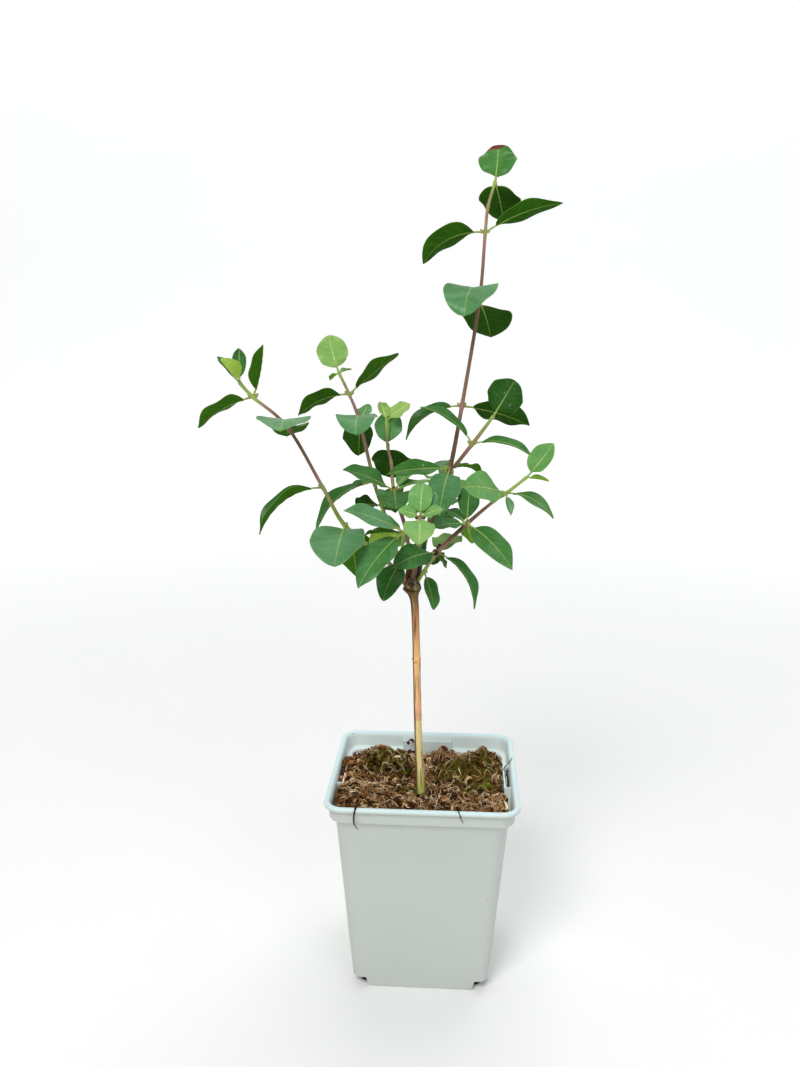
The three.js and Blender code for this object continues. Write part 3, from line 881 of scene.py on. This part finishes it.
SHOOTS["shoot_tall"] = [
    (-3.8, -10.4, 198, 1.1, 1.05),
    (0, -4, 218, 1.1, 1.05),
    (6, 2, 234, 1.1, 0.95),
    (10, 3, 247, 1.1, 1),
    (15, 5, 276, 0.9, 0.7),
    (22, 9, 323, 0.8, 0.85),
    (24, 11, 353, 0.7, 0.5),
    (25, 12, 364, 0.7, 0.48),
    (28, 13, 375, 0.7, 0.05),
], [
    (1, -130, -60, 17, 9, 20, 0, 0.3, -0.9),
    (3, -157, -2, 31, 10, 20, 40, 0.3, 0.1),
    (3, -100, -35, 30, 16, 40, 0, 0.2, 0.24),
    (3, 118, -4, 20, 13, 20, 15, 0.2, 0.05),
    (3, 45, -14, 22, 9, 60, 0, 0.4, 0.1),
    (4, -173, -31, 30, 9, 70, 20, 0.6, -0.4),
    (4, 25, -16, 37, 15, 20, 45, 0.2, -0.8),
    (5, -104, -13, 29, 24, 125, 0, 0.1, 0.23),
    (5, 74, -36, 28, 24, 30, 0, 0.1, -0.8),
    (6, -179, -26, 31, 14, 70, -40, 0.2, -0.6),
    (6, -7, 20, 36, 11, 30, 40, 0.2, -0.6),
    (8, 72, -45, 21, 19, 20, 0, 0.1, -0.8),
    (8, 81, 60, 19, 17, -10, 0, 0.2, 0.2),
]
SHOOTS["shoot_back"] = [
    (-6, -8, 195, 0.9, 0.9),
    (-5, -3, 202, 0.9, 0.6),
    (-2, 6, 214, 0.9, 0.4),
    (3, 15, 226, 0.8, 0.2),
    (8, 23, 236, 0.7, 0.1),
], [
    (2, 40, 26, 24, 14, 40, 0, 0.2, 0.1),
    (2, 130, -24, 26, 14, 40, 0, 0.2, 0.2),
    (3, 72, -6, 27, 15, 40, 0, 0.2, 0.3),
    (3, 172, -6, 17, 9, 20, 30, 0.2, 0.8),
    (4, 10, -14, 19, 9, 30, -30, 0.2, 0.75),
    (4, 118, 4, 20, 11, 30, 0, 0.2, 0.6),
    (4, 95, 52, 14, 8, 10, 0, 0.3, 0.8),
]
SHOOTS["shoot_upper_right"] = [
    (11.8, 1.2, 248.2, 0.9, 0.8),
    (20, -6, 260, 0.9, 0.5),
    (29, -10, 273, 0.7, 0.05),
], [
    (1, -175, 35, 29, 7, 50, 30, 0.4, 0.1),
    (1, -15, -9, 28, 7, 55, -20, 0.4, 0.15),
    (2, 34, 54, 19, 17, 0, -65, 0.1, -0.5),
]
SHOOTS["shoot_right"] = [
    (-3.6, -14, 198, 1, 0.15),
    (-0.8, -17, 203, 0.8, 0.1),
    (5, -22, 213, 1, 0.4),
    (18, -25, 227, 0.9, 1.05),
    (30, -22, 237, 0.7, 0.3),
    (35, -20, 240, 0.8, 0.1),
    (44, -18, 247, 0.7, 0.05),
], [
    (1, -52, -64, 18, 9, 20, 10, 0.3, 0.14),
    (2, -23, -52, 30, 8, 80, -5, 0.5, 0.01),
    (2, -133, -5, 27, 13, 30, 35, 0.2, 0.05),
    (2, 98, -34, 15, 9, 30, 0, 0.2, -0.8),
    (2, -20, -55, 8, 5, 20, 0, 0.2, 0),
    (2, 66, 13, 20, 14, 10, 0, 0.2, 0.85),
    (3, -55, -22, 36, 13, 30, -20, 0.2, 0.15),
    (3, -144, 1, 18, 9, 20, 20, 0.2, 0.1),
    (3, 86, 44, 23, 10, 0, 0, 0.2, 0.1),
    (3, 136, 20, 14, 8, 20, 0, 0.2, 0.05),
    (3, 74, -49, 14, 9, 20, 0, 0.2, 0.5),
    (5, -138, 12, 26, 15, 20, 55, 0.2, 0.58),
    (5, -70, -53, 11, 4, 20, 0, 0.5, 0.3),
    (5, -44, -15, 28, 8, 55, -10, 0.2, 0.15),
    (6, 5, 53, 19, 11, -10, -60, 0.5, 0.55),
    (6, -6, -8, 10, 4, 20, 0, 0.7, 0.6),
]
SHOOTS["shoot_front"] = [
    (-6.4, -16, 198, 0.9, 0.9),
    (-4, -18, 211, 0.8, 0.5),
    (-3, -27, 223, 0.7, 0.1),
    (-2, -42, 233, 0.7, 0.05),
], [
    (3, 80, 66, 15, 11, 20, 0, 0.3, 0.62),
    (3, -88, -27, 18, 13, 30, 0, 0.2, 0.76),
    (3, -15, 22, 11, 6, 20, -50, 0.3, 0.65),
    (3, -165, 20, 10, 6, 20, 50, 0.3, 0.7),
    (3, 38, 50, 13, 9, 20, -30, 0.2, 0.3),
]
SHOOTS["shoot_front_left"] = [
    (-9.2, -15.6, 198, 0.8, 0.6),
    (-11, -20, 208, 0.8, 0.2),
    (-10, -25, 219, 0.7, 0.05),
    (-9, -36, 225, 0.7, 0.05),
], [
    (3, -127, -33, 35, 14, 35, 20, 0.2, 0.2),
    (3, -146, 23, 32, 12, 20, 40, 0.2, 0.33),
    (3, 177, 30, 15, 6, 20, 30, 0.2, 0.2),
    (3, 165, -25, 17, 12, 20, -60, 0.2, 0.8),
    (3, 178, -4, 17, 10, 20, -15, 0.2, -0.7),
    (1, -112, -36, 23, 12, 40, 20, 0.3, 0.02),
]
BUD_FROM_LENGTH = 16
STALK_SHARE = 0.16
LEAF_STEPS = 46
ACROSS = 16
RIB_REACH = 0.55
RIB_DEPTH = 0.3
PUFF = 0.2
BLADE_HALF_THICKNESS = 0.22
RIM_HALF_THICKNESS = 0.05
VEIN_PAIRS = 6.5
VEIN_LEAN = 1.6
# Leaves with a browned, dry tip, as (shoot, joint, heading)
SCORCHED = [("shoot_tall", 8, 81)]
# What cutting back has left, as (shoot, joint, heading, rise, radius, length, tint)
STUBS = [
    ("shoot_right", 2, 40, 58, 1.1, 3.9, 1.05),
    ("shoot_right", 2, -105, 12, 1.4, 2.4, 0.7),
    ("shoot_right", 2, 150, 10, 1.2, 1.7, 0.55),
    ("shoot_right", 1, -20, -5, 0.5, 1.5, 0.75),
    ("shoot_centre", 2, -100, 60, 0.6, 2.2, 0.85),
    ("shoot_tall", 3, 30, 75, 0.7, 3, 0.9),
    ("shoot_front", 0, -95, -20, 1.7, 2.4, 0.8),
    ("shoot_front", 0, -150, -50, 1.1, 3.4, 0.35),
    ("shoot_front", 0, -20, -50, 1.2, 4.4, 0.3),
    ("shoot_front", 3, -150, 0, 0.8, 1.9, 0.8),
    ("shoot_front", 3, -25, 2, 0.8, 2.2, 0.8),
]


def blade_half(x, slender):
    """Half of the blade's width at x from its foot to its tip, as a share of the most."""
    x = min(1, max(0, x))
    round_off = 0.54 + slender * (0.08 + 0.25 * x)
    return math.sin(math.pi * x**0.9) ** round_off * (1 - 0.35 * slender * x**6)


def leaf_line(root, heading, rise, length, arch, count):
    """Points of a leaf's midrib with the direction at each, bent by arch in the heading's plane."""
    turn, lift = math.radians(heading), math.radians(rise)
    flat = Vector((math.cos(turn), math.sin(turn), 0))
    bend = math.radians(arch / 2)
    run = length * bend / math.sin(bend) if bend else length
    here = Vector(root)
    line = []
    for j in range(count + 1):
        t = j / count
        if j:
            angle = lift + bend * (1 - 2 * (t - 0.5 / count))
            here = here + (flat * math.cos(angle) + Vector((0, 0, math.sin(angle)))) * (run / count)
        angle = lift + bend * (1 - 2 * t)
        line.append((t, here.copy(), flat * math.cos(angle) + Vector((0, 0, math.sin(angle)))))
    return line


class Foliage:
    """The mesh of one shoot: its stem, stalks, buds and blades, with what the finishes read."""

    def __init__(self):
        self.points = []
        self.faces = []
        self.finish = []
        # For each point of a blade: how far along, how far across, and millimetres from the midrib
        self.spots = []
        # For a blade: top or underside, youth_and_shade, and sheen_and_scorch, which is a painted sheen when
        # above 0 and marks a scorched tip at -1; for a stem: its tint
        self.looks = []

    def add(self, shape, finish, spots, looks):
        points, faces = shape
        start = len(self.points)
        self.points += [tuple(p) for p in points]
        self.faces += [tuple(i + start for i in face) for face in faces]
        self.finish += [finish] * len(faces)
        self.spots += spots
        self.looks += looks

    def wood(self, rings, tints):
        """A skin over rings of bark, with a tint for each ring."""
        count = len(rings[0])
        looks = [(tint, 0, 0) for tint in tints for _ in range(count)]
        self.add(loft(rings), 1, [(0, 0, 0)] * len(looks), looks)

    def stem(self, line):
        """The stem through its joints, a little swollen and greener at each."""
        fine = smooth_line(line, 12)
        rings = tube([row[:3] for row in fine], [1] * len(fine), 14)
        joints = [Vector(row[:3]) for row in line[1:]]
        tints = []
        shaped = []
        for ring, (x, y, z, radius, tint) in zip(rings, fine):
            here = Vector((x, y, z))
            near = min((here - joint).length for joint in joints)
            swell = 1 + 0.3 * math.exp(-((near / 1.4) ** 2)) + 0.06 * noise.noise(here * 0.7)
            shaped.append([here + (p - here) * radius * swell for p in ring])
            tints.append(tint - 0.22 * math.exp(-((near / 2.5) ** 2)))
        self.wood(shaped, tints)

    def leaf(self, root, heading, rise, length, width, arch, roll, cup, youth_and_shade, scorched=False):
        """A stalk and a blade, quilted between its side veins, with a sunk midrib and a wavy edge."""
        line = leaf_line(root, heading, rise, length, arch, LEAF_STEPS)
        stalk = [p for t, p, _ in line if t <= 0.36]
        thick = 0.36 + 0.01 * width
        radii = [thick * (1.15 - 0.85 * j / len(stalk)) for j in range(len(stalk))]
        tint = 0.02 + 0.12 * dice.random() if youth_and_shade > 0 else 0.2
        self.wood(tube(stalk, radii, 8), [tint * (1 - j / len(stalk)) for j in range(len(stalk))])
        blade = [row for row in line if row[0] >= STALK_SHARE - 0.01]
        across = [math.sin(math.pi / 2 * (2 * i / ACROSS - 1)) for i in range(ACROSS + 1)]
        phase = dice.uniform(0, 6.3)
        waves = dice.uniform(1.4, 2.4)
        wave_rise = min(1, 0.06 * width) * dice.uniform(0.6, 1.1)
        uneven = dice.uniform(-0.08, 0.08)
        # A painted sheen, strongest on leaves near 0.3 on the youth_and_shade scale, a little on all; -1
        # marks a scorched tip.
        sheen_and_scorch = -1 if scorched else max(0, 1 - abs(youth_and_shade - 0.3) / 0.15) + 0.3 * dice.random()
        side = Vector((math.sin(math.radians(heading)), -math.cos(math.radians(heading)), 0))
        slender = min(1, max(0, (length / width - 1.3) / 1.6))
        rings, spots = [], []
        for t, centre, along in blade:
            x = (t - STALK_SHARE) / (1 - STALK_SHARE)
            half = max(0.02, width / 2 * blade_half(x, slender))
            turned = side.copy()
            turned.rotate(Matrix.Rotation(-math.radians(roll) * min(1, t / 0.3), 3, along))
            normal = turned.cross(along)
            top, under, marks = [], [], []
            for s in across:
                way = 1 if s > 0 else -1
                reach = half * (1 + uneven * way) * (1 + 0.035 * math.sin(11 * x + phase * way))
                lift = cup * reach * abs(s) ** 1.4
                lift += wave_rise * s * s * math.sin(2 * math.pi * waves * x + phase + 0.7 * way)
                spread = s * math.sqrt(1 - min(0.7, cup * cup * 0.5))
                point = centre + turned * spread * reach + normal * lift
                rib = math.exp(-((s * reach / RIB_REACH) ** 2)) * (1 - x) ** 0.5
                vein = math.sin(math.pi * (x * VEIN_PAIRS - abs(s) ** 1.25 * VEIN_LEAN)) ** 2
                puff = PUFF * vein * (1 - abs(s) ** 2) * min(1, reach / 5)
                body = BLADE_HALF_THICKNESS * (1 - abs(s) ** 6) + RIM_HALF_THICKNESS
                top.append(point + normal * (body + puff - RIB_DEPTH * rib))
                under.append(point - normal * (body - puff + RIB_DEPTH * rib))
                marks.append((x, s, abs(s) * reach))
            rings.append(top + under[::-1])
            spots += marks + marks[::-1]
        looks = ([(1, youth_and_shade, sheen_and_scorch)] * (ACROSS + 1) + [(0, youth_and_shade, sheen_and_scorch)] * (ACROSS + 1)) * len(rings)
        self.add(loft(rings), 0, spots, looks)

    def bud(self, root, heading, tint):
        """A pointed bud in the angle of a leaf."""
        turn = math.radians(heading)
        outward = Vector((math.cos(turn), math.sin(turn), 0))
        base = Vector(root) + outward * 0.9
        line = [base + outward * 0.35 * j + Vector((0, 0, 0.42 * j)) for j in range(5)]
        self.wood(tube(line, [0.5, 0.75, 0.7, 0.45, 0.1], 7), [tint] * 5)

    def stub(self, base, heading, rise, radius, length, tint):
        """What is left of a stem that was cut back, dark and hollow at the cut."""
        turn, lift = math.radians(heading), math.radians(rise)
        way = Vector((math.cos(turn) * math.cos(lift), math.sin(turn) * math.cos(lift), math.sin(lift)))
        outer = ((0, 1.3), (0.31, 1.05), (0.62, 1), (0.88, 1.12), (1.04, 1))
        line = [Vector(base) + way * length * share for share, _ in outer]
        rings = tube(line, [radius * wide for _, wide in outer], 12)
        rim = rings[-1]
        for share, wide in ((1, 0.7), (0.8, 0.5)):
            hollow = Vector(base) + way * length * share
            rings.append([hollow + (p - line[-1]) * wide for p in rim])
        self.wood(rings, [tint - 0.25, tint - 0.1, tint, tint, tint + 0.1, 1.15, 1.2])


leaf_green = Finish("leaf_green", {"Specular IOR Level": 0.04, "Coat Roughness": 0.27})


def parts_of(finish, name):
    """The three wires of a vector that the mesh carries."""
    whole = finish.attribute(name, "Vector")
    return [finish.node("ShaderNodeSeparateXYZ", values={0: whole}, out=axis) for axis in "XYZ"]


along_leaf, across_leaf, rib_gap = parts_of(leaf_green, "spot")
upper, youth_shade, sheen_and_scorch = parts_of(leaf_green, "look")
off_rib = abs(across_leaf)
mottle = leaf_green.noise(160, 4)
cloudy = leaf_green.noise(38, 2)
grain = leaf_green.noise(700, 2)
rib = (1 - (rib_gap / (0.36 - along_leaf * 0.22)).fade(0.5, 1.2)) * (0.9 - along_leaf * 0.45)
vein_phase = along_leaf * VEIN_PAIRS - off_rib**1.25 * VEIN_LEAN + cloudy * 0.25
vein_gap = abs(vein_phase.maths("FRACT") - 0.5)
vein = vein_gap.fade(0.43, 0.495) * (1 - off_rib.fade(0.5, 0.95))
forks = leaf_green.node("ShaderNodeTexVoronoi", {"feature": "DISTANCE_TO_EDGE"}, {"Scale": 330})
net = 1 - forks.fade(0.02, 0.09)
age_and_shade = youth_shade * 0.5 + 0.5 + mottle * 0.24 + cloudy * 0.24 - 0.26
# The darker stops are painted shade for leaves in shade, reached by a negative youth_and_shade; mottle and
# cloud add tone at random.
top_green = leaf_green.ramp(
    age_and_shade,
    (0.0, colour(14, 58, 0)),
    (0.25, colour(26, 80, 6)),
    (0.5, colour(46, 104, 30)),
    (0.65, colour(68, 128, 58)),
    (0.8, colour(108, 166, 86)),
    (1.0, colour(152, 184, 96)),
)
# Painted light: undersides are a saturated green standing in for light shining through the leaf, darkened as
# painted shade where youth_and_shade is negative.
under_green_backlit = leaf_green.ramp(
    age_and_shade,
    (0.0, colour(24, 62, 0)),
    (0.25, colour(42, 88, 4)),
    (0.5, colour(60, 108, 14)),
    (0.65, colour(90, 138, 34)),
    (0.8, colour(124, 168, 50)),
    (1.0, colour(180, 208, 88)),
)
flesh = leaf_green.mix(upper, under_green_backlit, top_green)
# Painted sheen: a pale bluish sky reflection painted on the tops of some leaves.
sheen_mask = sheen_and_scorch.maths("MAXIMUM", 0) * upper * (0.12 + mottle * 0.5)
sheen_painted = leaf_green.mix(sheen_mask, flesh, colour(106, 154, 130))
pale_line = leaf_green.mix(youth_shade, colour(112, 152, 78), colour(200, 218, 140))
netted = leaf_green.mix(net * 0.1, sheen_painted, pale_line)
veined = leaf_green.mix(vein * (0.2 + youth_shade * 0.14 + cloudy * 0.16), netted, pale_line)
rib_line = leaf_green.mix(youth_shade, colour(150, 176, 84), colour(210, 222, 140))
ribbed = leaf_green.mix(rib, veined, rib_line)
# A paler margin, partly painted highlight where the edge catches the light.
rimmed = leaf_green.mix(off_rib.fade(0.95, 1) * 0.3, ribbed, colour(166, 186, 92))
drops = leaf_green.noise(380, 2).fade(0.71, 0.76) * leaf_green.noise(60, 1).fade(0.52, 0.6) * upper * 0.4
scorched_leaf = (sheen_and_scorch * -1).maths("MAXIMUM", 0)
scorch = (along_leaf + mottle * 0.16 - across_leaf * 0.05).fade(0.93, 1.0) * scorched_leaf
scorched = leaf_green.mix(scorch, rimmed, colour(112, 52, 36))
leaf_green.paint({
    "Base Color": leaf_green.mix(drops, scorched, colour(200, 218, 200)),
    "Roughness": 0.54 - upper * 0.2 + mottle * 0.16,
    "Coat Weight": upper * (0.14 + mottle * 0.2),
    "Normal": leaf_green.bump(mottle * 0.4 - vein * 0.9 - rib * 0.3 - net * 0.3 + grain * 0.2, 0.35, 0.0005),
})

stem_skin = Finish("stem_skin", {"Roughness": 0.5, "Specular IOR Level": 0.35})
stem_grain = stem_skin.noise(700, 4, stem_skin.stretched(1, 1, 0.25))
stem_tint = parts_of(stem_skin, "look")[0] + stem_grain * 0.3 - 0.15
stem_skin.paint({
    "Base Color": stem_skin.ramp(
        stem_tint * 0.8,
        (0.0, colour(142, 170, 78)),
        (0.2, colour(138, 142, 76)),
        (0.4, colour(156, 108, 102)),
        (0.55, colour(130, 98, 74)),
        (0.8, colour(80, 62, 38)),
        (0.92, colour(34, 24, 18)),
    ),
    "Normal": stem_skin.bump(stem_grain, 0.4, 0.0003),
})

for name, (line, leaves) in SHOOTS.items():
    foliage = Foliage()
    foliage.stem(line)
    for joint, heading, rise, length, *rest in leaves:
        root = line[joint][:3]
        scorched = (name, joint, heading) in SCORCHED
        foliage.leaf(root, heading, rise, length, *rest, scorched=scorched)
        if joint < len(line) - 1 and length > BUD_FROM_LENGTH:
            foliage.bud(root, heading, dice.uniform(0.05, 0.4))
    for shoot, joint, *rest in STUBS:
        if shoot == name:
            foliage.stub(line[joint][:3], *rest)
    skins = leaf_green.material, stem_skin.material
    piece = make_piece(name + "_leafy", foliage.points, foliage.faces, *skins)
    piece.data.polygons.foreach_set("material_index", foliage.finish)
    for label, rows in (("spot", foliage.spots), ("look", foliage.looks)):
        vectors = piece.data.attributes.new(label, "FLOAT_VECTOR", "POINT")
        vectors.data.foreach_set("vector", [c for row in rows for c in row])
    stand_for(piece, name)

# Floor and backdrop
# A plain pale sweep under and behind the pot, so that nothing but its own shadow touches it.
FRONT_EDGE = -2.4
BEND_START = 1.5
BEND_RADIUS = 1.2
WALL_HEIGHT = 4.4
HALF_WIDTH = 4
sweep = [(FRONT_EDGE, 0), (BEND_START - 0.4, 0)]
for j in range(13):
    bend = j / 12 * math.pi / 2
    sweep.append((BEND_START + BEND_RADIUS * math.sin(bend), BEND_RADIUS - BEND_RADIUS * math.cos(bend)))
sweep += [(BEND_START + BEND_RADIUS, height) for height in (BEND_RADIUS + 0.4, WALL_HEIGHT)]
floor_points = [(x / MM, y / MM, z / MM) for y, z in sweep for x in (-HALF_WIDTH, HALF_WIDTH)]
floor_faces = [(2 * j, 2 * j + 1, 2 * j + 3, 2 * j + 2) for j in range(len(sweep) - 1)]
pale = Finish("pale_floor", {"Roughness": 0.9, "Specular IOR Level": 0.1, "Emission Strength": 0.5})
far = pale.node("ShaderNodeVectorMath", {"operation": "LENGTH"}, {0: pale.place()}, out="Value")
pale.paint({
    "Base Color": pale.mix(pale.noise(3, 2), (0.85, 0.855, 0.86, 1), (0.88, 0.88, 0.88, 1)),
    "Emission Color": pale.mix(far.fade(0.2, 1.6), (0.1, 0.1, 0.1, 1), (1, 1, 1, 1)),
})
floor = make_piece("floor", floor_points, floor_faces, pale.material)

# Light
# Two broad soft boxes and an even pale sky, as in a small product studio.
world = bpy.data.worlds.new("studio")
world.use_nodes = True
world.node_tree.nodes["Background"].inputs["Color"].default_value = (0.95, 0.98, 1.0, 1)
world.node_tree.nodes["Background"].inputs["Strength"].default_value = 0.3
bpy.context.scene.world = world


def soft_box(name, place, target, size, power, tint):
    light = bpy.data.lights.new(name, "AREA")
    light.shape = "RECTANGLE"
    light.size, light.size_y = size
    light.energy = power
    light.color = tint
    lamp = bpy.data.objects.new(name, light)
    lamp.location = place
    lamp.rotation_euler = (Vector(target) - Vector(place)).to_track_quat("-Z", "Y").to_euler()
    bpy.context.scene.collection.objects.link(lamp)


soft_box("key", (-0.4, -1.1, 1.3), (0, 0, 0.2), (0.6, 0.6), 15.5, (1, 0.99, 0.96))
soft_box("fill", (0.7, -1.1, 0.8), (0, 0, 0.2), (0.8, 0.8), 3.5, (0.95, 0.98, 1))
soft_box("top", (0.1, 0.4, 1.4), (0, 0, 0.2), (0.9, 0.7), 6, (1, 1, 0.98))

# Camera
# Standing close in front, a little above the crown and looking gently down, as the photograph was taken.
CAMERA_PLACE = (0.0138, -0.4644, 0.3174)
YAW, PITCH, ROLL = math.radians(-3.28), math.radians(12.21), math.radians(0.35)
FOCAL_PIXELS = 1016.85
IMAGE_WIDTH = 800
lens = bpy.data.cameras.new("camera")
lens.sensor_fit = "HORIZONTAL"
lens.sensor_width = 36
lens.lens = FOCAL_PIXELS / IMAGE_WIDTH * 36
lens.clip_start = 0.01
camera = bpy.data.objects.new("camera", lens)
ahead = Vector((math.sin(YAW) * math.cos(PITCH), math.cos(YAW) * math.cos(PITCH), -math.sin(PITCH)))
right = Vector((math.cos(YAW), -math.sin(YAW), 0))
up = right.cross(ahead)
right, up = (
    right * math.cos(ROLL) + up * math.sin(ROLL),
    up * math.cos(ROLL) - right * math.sin(ROLL),
)
camera.matrix_world = Matrix.Translation(CAMERA_PLACE) @ Matrix((right, up, -ahead)).transposed().to_4x4()
bpy.context.scene.collection.objects.link(camera)
bpy.context.scene.camera = camera
bpy.context.scene.view_settings.view_transform = "Standard"
